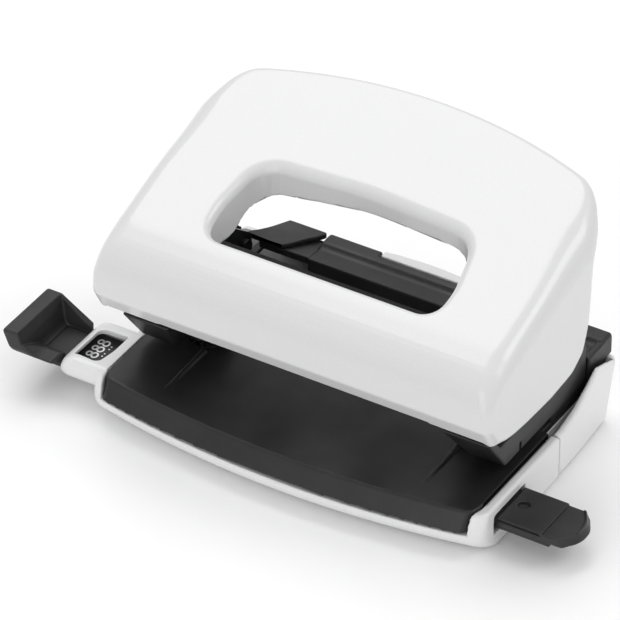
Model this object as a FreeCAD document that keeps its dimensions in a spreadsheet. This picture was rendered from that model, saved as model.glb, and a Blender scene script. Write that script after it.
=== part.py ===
"""Two-hole desk punch with a lever handle, a sliding format bar and a pull-out chip drawer.

Frame: millimetres, +Z up, the user stands on the -Y side. The origin is on the table,
midway between the two punching axes, so both pins stand at Y = 0 and X = +-40.
"""
import FreeCAD, Part
import os
import Sketcher

Vec = FreeCAD.Vector
doc = FreeCAD.newDocument("hole_punch")

# ---------------------------------------------------------------- driving dimensions
SIZES = {
    # punching geometry
    "hole_spacing": 80.0, "hole_margin": 12.0, "pin_dia": 5.5,
    "paper_level": 13.6, "gap_height": 2.7, "run_clear": 0.05,
    # base, mat and tray
    "base_half": 57.2, "seam_line": 10.0, "foot_clear": 0.6, "wall": 2.0,
    "mat_thick": 1.2, "floor_thick": 1.6, "tray_half": 53.35, "tray_thick": 2.0,
    "rail_out": 52.5, "rail_in": 49.5, "tray_rear": 37.5, "ridge_at": 37.5,
    # format bar
    "bar_front": -21.6, "bar_back": -8.4, "bar_low": 6.0, "bar_high": 9.2,
    "bar_right": 72.0, "bar_left": -78.5, "scale_thick": 0.3,
    # head and lever
    "head_half": 53.2, "block_inner": 39.1, "block_top": 24.0,
    "pivot_back": 26.0, "pivot_high": 23.5, "axle_dia": 5.0,
    "frame_in": 48.8, "frame_out": 50.8, "arm_in": 45.5, "arm_out": 47.5,
    "lever_low": 36.35, "lever_thick": 2.0,
    # rear deck
    "deck_front": 30.8, "deck_rear": 42.9, "deck_top": 24.0, "deck_half": 53.9,
    # drawer
    "drawer_half": 46.0, "drawer_front": -5.0, "drawer_floor": 3.2, "drawer_rim": 10.8,
    # handle
    "handle_half": 57.9, "handle_wall": 2.0,
    "opening_half": 33.0, "opening_front": -13.2, "opening_back": 13.5,
}
sheet = doc.addObject("Spreadsheet::Sheet", "Sizes")
for row, (alias, value) in enumerate(SIZES.items(), start=1):
    sheet.set("A%d" % row, alias)
    sheet.set("B%d" % row, str(value))
    sheet.setAlias("B%d" % row, alias)
doc.recompute()


def size(alias):
    """The sheet's number for a dimension."""
    return float(sheet.get(alias))


def cells(text):
    """Turn @name in a formula into a reference to the sheet."""
    return text.replace("@", "Sizes.")


def number(item):
    """The value of a formula or a plain number."""
    if isinstance(item, str):
        result = sheet.evalExpression(cells(item))
        return float(getattr(result, "Value", result))
    return float(item)


def bind(obj, prop, item):
    """Bind a property to a formula, or set it to a plain number."""
    if isinstance(item, str):
        obj.setExpression(prop, cells(item))
    elif "." in prop or "[" in prop:
        obj.setExpression(prop, "%.4f" % item)
    else:
        setattr(obj, prop, item)


# ---------------------------------------------------------------- sketched bodies
PLANE_SIGN = {"XY_Plane": 1, "XZ_Plane": -1, "YZ_Plane": 1}


def new_body(label):
    body = doc.addObject("PartDesign::Body", label)
    body.Label = label
    return body


def plane_of(body, role):
    return next(f for f in body.Origin.OriginFeatures if f.Role == role)


def new_sketch(body, role, at):
    """An empty sketch on one of the body's planes, moved to a place along the plane's axis."""
    sketch = body.newObject("Sketcher::SketchObject", body.Label + "_sketch")
    sketch.AttachmentSupport = [(plane_of(body, role), "")]
    sketch.MapMode = "FlatFace"
    sign = "" if PLANE_SIGN[role] > 0 else "-"
    bind(sketch, "AttachmentOffset.Base.z", "%s(%s)" % (sign, at))
    return sketch


def draw_outline(sketch, points):
    """A closed outline whose corners are held by formulas."""
    corners = [(number(u), number(v)) for u, v in points]
    first = sketch.GeometryCount
    for i, (u, v) in enumerate(corners):
        u2, v2 = corners[(i + 1) % len(corners)]
        sketch.addGeometry(Part.LineSegment(Vec(u, v, 0), Vec(u2, v2, 0)), False)
    for i in range(len(corners)):
        j = (i + 1) % len(corners)
        sketch.addConstraint(Sketcher.Constraint("Coincident", first + i, 2, first + j, 1))
    for i, (formula_u, formula_v) in enumerate(points):
        for kind, formula, value in (("DistanceX", formula_u, corners[i][0]),
                                     ("DistanceY", formula_v, corners[i][1])):
            index = sketch.addConstraint(Sketcher.Constraint(kind, -1, 1, first + i, 1, value))
            if isinstance(formula, str):
                bind(sketch, "Constraints[%d]" % index, formula)


def draw_circle(sketch, centre, diameter):
    """A circle whose centre and diameter are held by formulas."""
    u, v = (number(c) for c in centre)
    geo = sketch.addGeometry(Part.Circle(Vec(u, v, 0), Vec(0, 0, 1), number(diameter) / 2), False)
    limits = (("DistanceX", (-1, 1, geo, 3), u, centre[0]),
              ("DistanceY", (-1, 1, geo, 3), v, centre[1]),
              ("Diameter", (geo,), number(diameter), diameter))
    for kind, where, value, formula in limits:
        index = sketch.addConstraint(Sketcher.Constraint(kind, *where, value))
        if isinstance(formula, str):
            bind(sketch, "Constraints[%d]" % index, formula)


def extrude(body, role, shape, low, high, cut=False):
    """Pad or pocket a drawn shape between two places along the plane's axis."""
    start = low if PLANE_SIGN[role] > 0 else high
    sketch = new_sketch(body, role, start)
    if isinstance(shape[0], tuple) and len(shape) > 2:
        draw_outline(sketch, shape)
    else:
        draw_circle(sketch, *shape)
    before = body.Shape.Volume if cut else 0.0
    feature = body.newObject("PartDesign::Pocket" if cut else "PartDesign::Pad", body.Label + "_step")
    feature.Profile = sketch
    if cut:
        feature.Reversed = True
    bind(feature, "Length", "(%s) - (%s)" % (high, low))
    doc.recompute()
    if cut and body.Shape.Volume >= before - 1e-6:
        raise RuntimeError("%s: a pocket removed nothing" % body.Label)
    return feature


def box_outline(low, high):
    """The four corners of an upright rectangle given two opposite corners."""
    return [(low[0], low[1]), (high[0], low[1]), (high[0], high[1]), (low[0], high[1])]


def dress(body, kind, reach, pick):
    """Fillet or chamfer the edges of the body that a test picks."""
    base = body.Tip
    names = ["Edge%d" % (i + 1) for i, edge in enumerate(base.Shape.Edges) if pick(edge)]
    if not names:
        raise RuntimeError("%s: no edge to %s" % (body.Label, kind))
    feature = body.newObject("PartDesign::" + kind, body.Label + "_edge")
    feature.Base = (base, names)
    bind(feature, "Radius" if kind == "Fillet" else "Size", reach)
    doc.recompute()
    return feature


def runs_along(edge, axis):
    """True for a straight edge parallel to a coordinate axis."""
    if not isinstance(edge.Curve, Part.Line):
        return False
    return abs(abs(edge.Curve.Direction.dot(axis)) - 1) < 1e-6


def mirrored(source, label):
    """The same piece on the other side of the middle plane."""
    twin = doc.addObject("Part::Mirroring", label)
    twin.Label = label
    twin.Source = source
    twin.Base = Vec(0, 0, 0)
    twin.Normal = Vec(1, 0, 0)
    doc.recompute()
    return twin


# ---------------------------------------------------------------- primitives
def primitive(kind, name, place, turn=None, **dims):
    """A Part primitive with its size and position bound to formulas."""
    obj = doc.addObject("Part::" + kind, name)
    for prop, item in dims.items():
        bind(obj, prop, item)
    if turn is not None:
        obj.Placement.Rotation = FreeCAD.Rotation(*turn)
    for axis, item in zip("xyz", place):
        bind(obj, "Placement.Base." + axis, item)
    return obj


def combine(kind, label, *items):
    """Part boolean or group of several objects."""
    obj = doc.addObject("Part::" + kind, label)
    obj.Label = label
    if kind == "Cut":
        obj.Base, obj.Tool = items
    elif kind == "Compound":
        obj.Links = list(items)
    else:
        obj.Shapes = list(items)
    doc.recompute()
    return obj


def free_shape(label, shape, place=Vec()):
    """A sub-part whose surface needs lofts or sweeps."""
    obj = doc.addObject("Part::Feature", label)
    obj.Label = label
    obj.Shape = shape
    obj.Placement = FreeCAD.Placement(place, FreeCAD.Rotation())
    return obj


ALONG_X = (Vec(0, 1, 0), 90)
SCREW_ROWS = (18.5, 26.5)
HANDLE_SCREWS = ((-42.0, -9.0), (-14.0, -17.0), (14.0, -17.0), (42.0, -9.0))


# ---------------------------------------------------------------- base and tray
def bowed_outline(half, rear, corner, bow, radius, level):
    """Plan outline: straight sides, a rear edge, and a front edge that bows forward.

    corner is the Y where the straight sides would meet the front, bow the Y at the middle.
    """
    inset = radius * 0.292893
    left, right = -half, half
    side = corner + radius
    turn = Vec(right - inset, corner + inset, level)
    front = Vec(right - radius, corner - 0.12 * radius, level)
    middle = Vec(0, bow, level)
    edges = [
        Part.makeLine(Vec(right, rear, level), Vec(right, side, level)),
        Part.Arc(Vec(right, side, level), turn, front).toShape(),
        Part.Arc(front, middle, Vec(-front.x, front.y, level)).toShape(),
        Part.Arc(Vec(-front.x, front.y, level), Vec(-turn.x, turn.y, level),
                 Vec(left, side, level)).toShape(),
        Part.makeLine(Vec(left, side, level), Vec(left, rear, level)),
        Part.makeLine(Vec(left, rear, level), Vec(right, rear, level)),
    ]
    return Part.Wire(edges)


def stacked(rows):
    """A solid through several plan outlines, one above the other."""
    return Part.makeLoft([bowed_outline(*row) for row in rows], True, True)


def block(low, high):
    """A box between two corners."""
    return Part.makeBox(high[0] - low[0], high[1] - low[1], high[2] - low[2], Vec(*low))


def base_shell():
    half, rear = size("base_half"), size("seam_line")
    wall = size("wall")
    floor_low = size("mat_thick")
    floor_high = floor_low + size("floor_thick")
    level = size("paper_level")
    tray_low = level - size("tray_thick")
    rows = [(half, rear, -25.0, -29.6, 6.0, size("foot_clear")),
            (half, rear, -29.4, -36.2, 5.0, 8.2),
            (half - 1.4, rear, -29.0, -33.8, 4.0, level - 0.5)]
    hollow = [(half - wall, rear + 5, -22.8, -27.6, 4.0, floor_high),
              (half - wall, rear + 5, -26.6, -33.6, 3.5, 7.4),
              (tray_well_half(), rear + 5, -28.2, -33.1, 3.0, level + 1)]
    shell = stacked(rows).cut(stacked(hollow))
    shell = shell.cut(block((-50.5, -24.5, -1), (50.5, rear + 1, floor_low)))
    front_low = level - 4.6
    shell = shell.cut(block((-tray_well_half(), -40, front_low), (tray_well_half(), -20, level + 2)))
    rail_in, rail_out = size("rail_in"), size("rail_out")
    parts = [block((-rail_out, rear - 8, floor_low), (rail_out, 35.2, floor_high))]
    for side in (-1, 1):
        inner, outer = sorted((side * rail_in, side * rail_out))
        parts.append(block((inner, rear - 8, floor_low), (outer, 36.0, tray_low)))
        wing_in, wing_out = sorted((side * rail_in, side * (half - wall + 0.5)))
        parts.append(block((wing_in, rear - 1.6, floor_low), (wing_out, rear, tray_low)))
    for x in (-44.0, -26.0):
        parts.append(block((x - 1, -23.4, floor_high), (x + 1, -7.0, size("bar_low") - 0.3)))
    parts.append(block((-47.0, -25.6, floor_high), (-23.0, -24.4, 10.2)))
    shell = shell.multiFuse(parts)
    for side, reach_low, reach_high in ((-1, 5.4, 10.0), (1, 3.9, 11.2)):
        low_x, high_x = sorted((side * (rail_out + 0.2), side * (half + 3)))
        shell = shell.cut(block((low_x, -22.8, reach_low), (high_x, -6.4, reach_high)))
    return free_shape("base_shell", shell.removeSplitter())


def tray_well_half():
    """Half-width of the opening in the base that takes the tray."""
    return size("tray_half") + 0.15


def tray_plate():
    level = size("paper_level")
    thick = size("tray_thick")
    low = level - 4.5
    half, rear = size("tray_half"), size("tray_rear")
    stop = size("hole_margin")
    body = stacked([(half, rear, -30.2, -35.1, 2.5, low),
                    (half, rear, -27.9, -32.75, 2.5, level)])
    under = stacked([(half + thick, rear + 2, -28.0, -32.9, 2.0, low - 0.01),
                     (half + thick, rear + 2, -25.6, -30.4, 2.0, level - thick)])
    body = body.cut(under)
    rear_half = size("rail_out")
    for side in (-1, 1):
        inner, outer = sorted((side * rear_half, side * (half + 1)))
        body = body.cut(block((inner, size("seam_line") - 0.2, low - 1), (outer, rear + 1, level + 1)))
    stop_rib = block((-47.0, stop, level - 0.5), (47.0, stop + 1.6, level + size("gap_height") - 0.1))
    ridges = []
    for side in (-1, 1):
        x = side * size("ridge_at") - 0.7
        slope = [(-24.0, level - 0.4), (-24.0, level), (-5.4, level + 0.6), (-5.4, level - 0.4)]
        profile = Part.makePolygon([Vec(x, y, z) for y, z in slope + slope[:1]])
        ridges.append(Part.Face(profile).extrude(Vec(1.4, 0, 0)))
    body = body.multiFuse([stop_rib] + ridges)
    for side in (-1, 1):
        x = side * size("hole_spacing") / 2
        body = body.cut(Part.makeCylinder(4.55, 8, Vec(x, 0, level - 5)))
        for y in SCREW_ROWS:
            screw_x = side * (size("frame_in") - 4)
            body = body.cut(Part.makeCylinder(1.35, 8, Vec(screw_x, y, level - 5)))
    return free_shape("tray_plate", body.removeSplitter())


def base_mat():
    body = new_body("base_mat")
    extrude(body, "XY_Plane", box_outline(("-50", "-24"), ("50", "34")), "0", "@mat_thick")
    dress(body, "Fillet", 6.0, lambda e: runs_along(e, Vec(0, 0, 1)))
    return body


def die_bush(side, label):
    """Hardened ring let into the tray under a pin."""
    x = "%d * @hole_spacing / 2" % side
    ring = primitive("Cylinder", label + "_ring", (x, 0, "@paper_level - 2.4"), Radius=4.5, Height=2.4)
    bore = primitive("Cylinder", label + "_bore", (x, 0, "@paper_level - 4.4"),
                     Radius="@pin_dia / 2 + @run_clear", Height=5.4)
    return combine("Cut", label, ring, bore)


def window_housing():
    """Cover on the left end of the base, with a window over the format bar."""
    body = new_body("window_housing")
    outline = [("-69.4", "-24.0"), ("-67.4", "-27.3"), ("-57.5", "-27.3"), ("-57.5", "-7.2"),
               ("-67.6", "-7.2"), ("-69.4", "-9.0")]
    extrude(body, "XY_Plane", outline, "2.4", "@paper_level")
    undercut = [("-29", "2"), ("-23.4", "2"), ("-27.3", "8.0"), ("-29", "8.0")]
    extrude(body, "YZ_Plane", undercut, "-70", "-57", cut=True)
    tunnel = box_outline(("@bar_front - 0.4", "@bar_low - 0.3"), ("@bar_back + 0.4", "@bar_high + 0.7"))
    extrude(body, "YZ_Plane", tunnel, "-70", "-57", cut=True)
    window = [("-66.4", "-22.6"), ("-65.2", "-23.6"), ("-59.4", "-23.4"), ("-58.4", "-20.6"),
              ("-58.4", "-10.6"), ("-65.6", "-10.6"), ("-66.4", "-11.4")]
    extrude(body, "XY_Plane", window, "@bar_high + 0.7", "@paper_level + 1", cut=True)
    return body


# ---------------------------------------------------------------- format bar
def guide_bar():
    body = new_body("guide_bar")
    section = box_outline(("@bar_front", "@bar_low"), ("@bar_back", "@bar_high"))
    extrude(body, "YZ_Plane", section, "@bar_left", "@bar_right")
    groove = box_outline(("@bar_front - 1", "@bar_low + 1.1"), ("@bar_front + 0.9", "@bar_high - 1.1"))
    extrude(body, "YZ_Plane", groove, "-66", "50", cut=True)
    return body


def format_scale():
    """Printed strip on top of the bar that shows through the window."""
    body = new_body("format_scale")
    strip = box_outline(("@bar_front + 0.9", "@bar_high"), ("@bar_back - 0.9", "@bar_high + @scale_thick"))
    extrude(body, "YZ_Plane", strip, "-68", "45")
    return body


def paper_stop():
    """Upright stop on the left end of the bar, leaning outwards, with a channel for the bar's top."""
    body = new_body("paper_stop")
    profile = [("-69.7", "@bar_low - 0.2"), ("-69.7", "11.6"), ("-74.8", "11.8"), ("-77.8", "14.1"),
               ("-79.4", "17.5"), ("-84.6", "17.5"), ("-82.4", "12.0"), ("-80.0", "@bar_low - 0.2")]
    extrude(body, "XZ_Plane", profile, "-28.8", "-7.6")
    undercut = [("-30", "5"), ("-22.9", "5"), ("-28.8", "10.8"), ("-30", "10.8")]
    extrude(body, "YZ_Plane", undercut, "-86", "-69", cut=True)
    channel = box_outline(("@bar_front + 0.8", "@bar_high"), ("@bar_back - 0.4", "18"))
    extrude(body, "YZ_Plane", channel, "-77.6", "-69", cut=True)
    socket = box_outline(("@bar_front - 0.05", "@bar_low - 1"), ("@bar_back + 0.05", "@bar_high + 0.05"))
    extrude(body, "YZ_Plane", socket, "@bar_left - 0.05", "-69", cut=True)
    return body


def bar_end_cap():
    """Thumb piece clipped over the right end of the bar."""
    body = new_body("bar_end_cap")
    outline = [("57.4", "-22.2"), ("75.2", "-22.2"), ("77.8", "-20.0"), ("79.0", "-16.6"),
               ("79.0", "-12.0"), ("77.8", "-8.6"), ("76.4", "-7.8"), ("57.4", "-7.8")]
    extrude(body, "XY_Plane", outline, "5.4", "9.95")
    socket = box_outline(("@bar_front - 0.05", "@bar_low - 0.05"), ("@bar_back + 0.05", "@bar_high + 0.05"))
    extrude(body, "YZ_Plane", socket, "57", "@bar_right + 0.05", cut=True)
    dish = [("70.6", "-20.6"), ("75.0", "-21.0"), ("76.8", "-19.0"), ("77.6", "-15.6"), ("77.0", "-11.6"),
            ("75.8", "-9.6"), ("70.6", "-9.4")]
    extrude(body, "XY_Plane", dish, "@bar_high + 0.35", "12", cut=True)
    extrude(body, "XY_Plane", (("60.8", "-14.4"), "3.2"), "@bar_high + 0.35", "11", cut=True)
    return body


def detent_spring():
    """Leaf that clicks into the bar at each paper format."""
    path = [(-46.0, -24.35), (-46.0, -24.05), (-39.5, -23.4), (-36.0, -22.2), (-34.0, -22.2),
            (-30.5, -23.4), (-24.0, -24.05), (-24.0, -24.35), (-31.0, -23.8), (-34.2, -22.6),
            (-35.8, -22.6), (-39.0, -23.8)]
    body = new_body("detent_spring")
    extrude(body, "XY_Plane", [(str(x), str(y)) for x, y in path], "6.4", "8.8")
    return body


# ---------------------------------------------------------------- punching head
def head_block_right():
    """Guide for one pin, with the front nose and the side wall of the head."""
    body = new_body("head_block_right")
    gap_top = "@paper_level + @gap_height"
    nose = [("-10.5", gap_top), ("30.4", gap_top), ("30.4", "27.6"), ("28.2", "29.0"),
            ("21.0", "29.0"), ("15.0", "@block_top"), ("-13.4", "@block_top"), ("-16.6", "28.4"),
            ("-19.8", "28.4"), ("-11.1", "16.9")]
    extrude(body, "YZ_Plane", nose, "51.2", "@head_half")
    front = [("-10.5", gap_top), ("@hole_margin", gap_top), ("@hole_margin", "@block_top"),
             ("-13.4", "@block_top"), ("-16.6", "28.4"), ("-19.8", "28.4"), ("-11.1", "16.9")]
    extrude(body, "YZ_Plane", front, "@block_inner + 1.6", "51.3")
    extrude(body, "XY_Plane", (("@hole_spacing / 2", "0"), "12.4"), gap_top, "@block_top")
    web = box_outline(("@block_inner - 5.4", "-1.5"), ("@block_inner + 2", "@hole_margin"))
    extrude(body, "XY_Plane", web, gap_top, "19")
    foot = box_outline(("@hole_margin + 1.9", "@paper_level"), ("30.4", "17"))
    extrude(body, "YZ_Plane", foot, "51.2", "@rail_out")
    extrude(body, "XY_Plane", (("@hole_spacing / 2", "0"), "@pin_dia + 2 * @run_clear"),
            "15", "25", cut=True)
    extrude(body, "XY_Plane", (("@hole_spacing / 2", "0"), "9.2"), "19.2", "25", cut=True)
    notch = box_outline(("-3.3", "15"), ("-2.7", "18.9"))
    extrude(body, "YZ_Plane", notch, "52.2", "54", cut=True)
    extrude(body, "YZ_Plane", (("@pivot_back", "@pivot_high"), "6.4"), "51", "52.2", cut=True)
    return body


def side_frame_right():
    """Folded steel side that carries the axle and clamps the pin guide down."""
    body = new_body("side_frame_right")
    plate = [("@hole_margin + 1.9", "@paper_level"), ("30.4", "@paper_level"), ("30.4", "26.2"),
             ("28.0", "28.4"), ("22.0", "28.4"), ("17.0", "26.4"), ("-6.0", "26.4"),
             ("-6.0", "@block_top"), ("@hole_margin + 1.9", "@block_top")]
    extrude(body, "YZ_Plane", plate, "@frame_in", "@frame_out")
    flange = box_outline(("@hole_margin + 1.9", "@paper_level"), ("30.4", "@paper_level + 1.6"))
    extrude(body, "YZ_Plane", flange, "@frame_in - 7", "@frame_in + 0.5")
    extrude(body, "YZ_Plane", (("@pivot_back", "@pivot_high"), "@axle_dia + 2 * @run_clear"),
            "@frame_in - 1", "@frame_out + 1", cut=True)
    for y in SCREW_ROWS:
        extrude(body, "XY_Plane", (("@frame_in - 4", str(y)), "2.7"), "@paper_level - 1",
                "@paper_level + 3", cut=True)
    return body


def frame_screws():
    """Four pan-head screws that hold the side frames to the base."""
    group = []
    for side in (-1, 1):
        for y in SCREW_ROWS:
            name = "frame_screw_%d" % (len(group) + 1)
            x = "%d * (@frame_in - 4)" % side
            shank = primitive("Cylinder", name + "_shank", (x, y, "@paper_level - 2.0"),
                              Radius=1.3, Height=3.8)
            head = primitive("Cylinder", name + "_head", (x, y, "@paper_level + 1.6"),
                             Radius=2.6, Height=1.5)
            group.append(combine("MultiFuse", name, shank, head))
    return combine("Compound", "frame_screws", *group)


def pivot_pin(side, label):
    """Short steel pin through one lever arm and its side frame."""
    start = "@arm_in - 1.2" if side > 0 else "-(@frame_out + 1.2)"
    obj = primitive("Cylinder", label, (start, "@pivot_back", "@pivot_high"), ALONG_X,
                    Radius="@axle_dia / 2", Height="@frame_out - @arm_in + 2.4")
    obj.Label = label
    return obj


def axle_clips():
    """Retaining rings on the axle, just inside the side frames."""
    group = []
    for side, start in ((-1, "-(@arm_out + 1.0)"), (1, "@arm_out + 0.4")):
        name = "axle_clip_%d" % (1 if side < 0 else 2)
        ring = primitive("Cylinder", name + "_ring", (start, "@pivot_back", "@pivot_high"), ALONG_X,
                         Radius=4.2, Height=0.6)
        bore = primitive("Cylinder", name + "_bore", ("%s - 1" % start, "@pivot_back", "@pivot_high"),
                         ALONG_X, Radius="@axle_dia / 2 + 0.03", Height=3)
        group.append(combine("Cut", name, ring, bore))
    return combine("Compound", "axle_clips", *group)


def rear_deck():
    """Black cover behind the axle; its left end is lower and carries the lock slide."""
    body = new_body("rear_deck")
    high_side = [("@deck_front", "@paper_level"), ("@deck_front + 1.6", "@paper_level"),
                 ("@deck_front + 1.6", "@deck_top - 2.8"), ("@deck_rear - 1.6", "@deck_top - 2.8"),
                 ("@deck_rear - 1.6", "17.6"), ("@deck_rear", "17.6"), ("@deck_rear", "@deck_top"),
                 ("@deck_rear - 4.8", "@deck_top"), ("@deck_rear - 4.8", "@deck_top - 0.8"),
                 ("@deck_front", "@deck_top - 0.8")]
    extrude(body, "YZ_Plane", high_side, "-25.8", "@deck_half")
    right_side = [("@deck_front", "@paper_level"), ("37.2", "@paper_level"), ("40.4", "17.6"),
                  ("@deck_rear", "17.6"), ("@deck_rear", "@deck_top - 1"), ("@deck_front", "@deck_top - 1")]
    extrude(body, "YZ_Plane", right_side, "@deck_half - 2", "@deck_half")
    low_side = [("@deck_front", "@paper_level"), ("37.2", "@paper_level"), ("41.0", "19.9"),
                ("41.0", "22.2"), ("@deck_front", "22.2")]
    extrude(body, "YZ_Plane", low_side, "-@deck_half", "-@deck_half + 2")
    platform = box_outline(("32.4", "19.9"), ("41.0", "22.2"))
    extrude(body, "YZ_Plane", platform, "-@deck_half", "-25.7")
    sill = box_outline(("@deck_front", "@paper_level"), ("@deck_front + 1.6", "16.4"))
    extrude(body, "YZ_Plane", sill, "-@deck_half", "-25.7")
    slot = [("-48.4", "31.8"), ("-44.8", "31.8"), ("-44.8", "36.4"), ("-35.1", "36.4"), ("-35.1", "40.0"),
            ("-48.4", "40.0")]
    extrude(body, "XY_Plane", slot, "19", "23", cut=True)
    notch = box_outline(("-13.6", "40.6"), ("13.6", "44"))
    extrude(body, "XY_Plane", notch, "16", "25", cut=True)
    return body


def handle_lock():
    """Slide that catches the tail of the lever and holds the handle down."""
    body = new_body("handle_lock")
    tab = [("-26.6", "42.6"), ("-39.6", "42.6"), ("-47.6", "33.8"), ("-46.4", "33.0"), ("-41.0", "32.5"),
           ("-34.0", "32.7"), ("-26.6", "33.6")]
    extrude(body, "XY_Plane", tab, "22.5", "@deck_top")
    stem = box_outline(("-38.5", "37.0"), ("-35.5", "39.5"))
    extrude(body, "XY_Plane", stem, "18.5", "23")
    hook = box_outline(("-44.5", "37.0"), ("-35.5", "39.5"))
    extrude(body, "XY_Plane", hook, "18.5", "19.4")
    return body


# ---------------------------------------------------------------- pins and springs
def punch_pin(side, label):
    """Hardened pin with a domed top and a hollow-ground lower end."""
    x = "%d * @hole_spacing / 2" % side
    shaft = primitive("Cylinder", label + "_shaft", (x, 0, 17.6), Radius="@pin_dia / 2", Height=17.0)
    dome = primitive("Sphere", label + "_dome", (x, 0, 32.5), Radius=3.5)
    reach = primitive("Cylinder", label + "_reach", (x, 0, 33.2), Radius="@pin_dia / 2", Height=4)
    top = combine("MultiCommon", label + "_top", dome, reach)
    blank = combine("MultiFuse", label + "_blank", shaft, top)
    grind = primitive("Cylinder", label + "_grind", ("%s - 4" % x, 0, 12.0), ALONG_X, Radius=6.2, Height=8)
    return combine("Cut", label, blank, grind)


def spring_cap(side, label):
    """Washer fixed on the pin that the return spring pushes against."""
    x = "%d * @hole_spacing / 2" % side
    disc = primitive("Cylinder", label + "_disc", (x, 0, 31.6), Radius=4.3, Height=1.0)
    bore = primitive("Cylinder", label + "_bore", (x, 0, 30.6), Radius="@pin_dia / 2 + 0.02", Height=3)
    return combine("Cut", label, disc, bore)


def return_spring(side, label):
    """Compression spring between the guide and the washer."""
    wire, mean, turns = 0.4, 3.75, 6
    low, high = 19.2 + wire + 0.05, 31.6 - wire - 0.05
    helix = Part.makeHelix((high - low) / turns, high - low, mean)
    start = Part.Wire(Part.Circle(Vec(mean, 0, 0), Vec(0, 1, 0), wire).toShape())
    spring = Part.Wire(helix).makePipeShell([start], True, True)
    return free_shape(label, spring, Vec(side * size("hole_spacing") / 2, 0, low))


# ---------------------------------------------------------------- chip drawer
def chip_drawer():
    """Tray for the chips with the white rear cover of the base as its front."""
    half, seam = size("base_half"), size("seam_line") + 0.3
    outer = [(seam, 0.6), (37.8, 0.6), (43.2, 17.3), (38.2, 21.2), (32.4, 22.4), (28.2, 23.2), (25.2, 20.7),
             (22.2, 18.6), (19.7, 17.4), (16.2, 16.0), (12.4, 13.6), (seam, 13.1)]
    wire = Part.makePolygon([Vec(-half, y, z) for y, z in outer + outer[:1]])
    skin = Part.Face(wire).extrude(Vec(2 * half, 0, 0))
    inner_half = size("deck_half") + 0.6
    inner = [(seam - 1, -1), (35.8, -1), (35.8, 0.6), (41.2, 17.3), (41.2, 30), (seam - 1, 30)]
    core = Part.Face(Part.makePolygon([Vec(-inner_half, y, z) for y, z in inner + inner[:1]]))
    skin = skin.cut(core.extrude(Vec(2 * inner_half, 0, 0)))
    skin = skin.cut(block((-inner_half, 30, 17.3), (inner_half, 50, 40)))
    taper = []
    for side in (-1, 1):
        points = [(57.5, 7.0), (57.2, 14.0), (56.6, 24.0), (55.6, 44.5), (60.0, 44.5), (60.0, 7.0)]
        plan = Part.makePolygon([Vec(side * x, y, -1) for x, y in points + points[:1]])
        taper.append(Part.Face(plan).extrude(Vec(0, 0, 40)))
    skin = skin.cut(taper[0]).cut(taper[1])
    reach, front = size("drawer_half"), size("drawer_front")
    floor, rim = size("drawer_floor"), size("drawer_rim")
    bin_outer = block((-reach, front, floor), (reach, 37.0, rim))
    bin_outer = bin_outer.cut(block((-reach + 1.5, front + 1.2, floor + 1.2), (reach - 1.5, 36.0, rim + 1)))
    grip = block((-13.0, 41.0, 16.0), (13.0, 42.5, 23.6))
    drawer = skin.multiFuse([bin_outer, grip])
    return free_shape("chip_drawer", drawer.removeSplitter())


# ---------------------------------------------------------------- handle and lever
FRONT = [(-23.9, 32.3), (-27.1, 38.3), (-26.4, 47.4)]
TOP_START, TOP_END, REAR_EDGE = (-15.6, 55.5), (46.4, 76.42), 45.2
CHEEK_EDGE = [(34.0, 68.2), (28.9, 55.8), (22.7, 40.7), (20.0, 33.7), (14.6, 30.4), (4.0, 29.5),
              (-8.6, 30.0), (-18.6, 31.0)]


def side_prism(points, arc_after, arc_middle, half):
    """A prism across X from a side outline, with one corner drawn as an arc."""
    edges = []
    count = len(points)
    for i in range(count):
        here, there = points[i], points[(i + 1) % count]
        a, b = Vec(-half, *here), Vec(-half, *there)
        if i == arc_after:
            edges.append(Part.Arc(a, Vec(-half, *arc_middle), b).toShape())
        else:
            edges.append(Part.makeLine(a, b))
    return Part.Face(Part.Wire(edges)).extrude(Vec(2 * half, 0, 0))


def opening_prism(grow, radius, low, high):
    """An upright prism with rounded corners over the hand opening, grown by a wall."""
    half = size("opening_half") + grow
    prism = block((-half, size("opening_front") - grow, low), (half, size("opening_back") + grow, high))
    upright = [e for e in prism.Edges if runs_along(e, Vec(0, 0, 1))]
    return prism.makeFillet(radius, upright)


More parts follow.
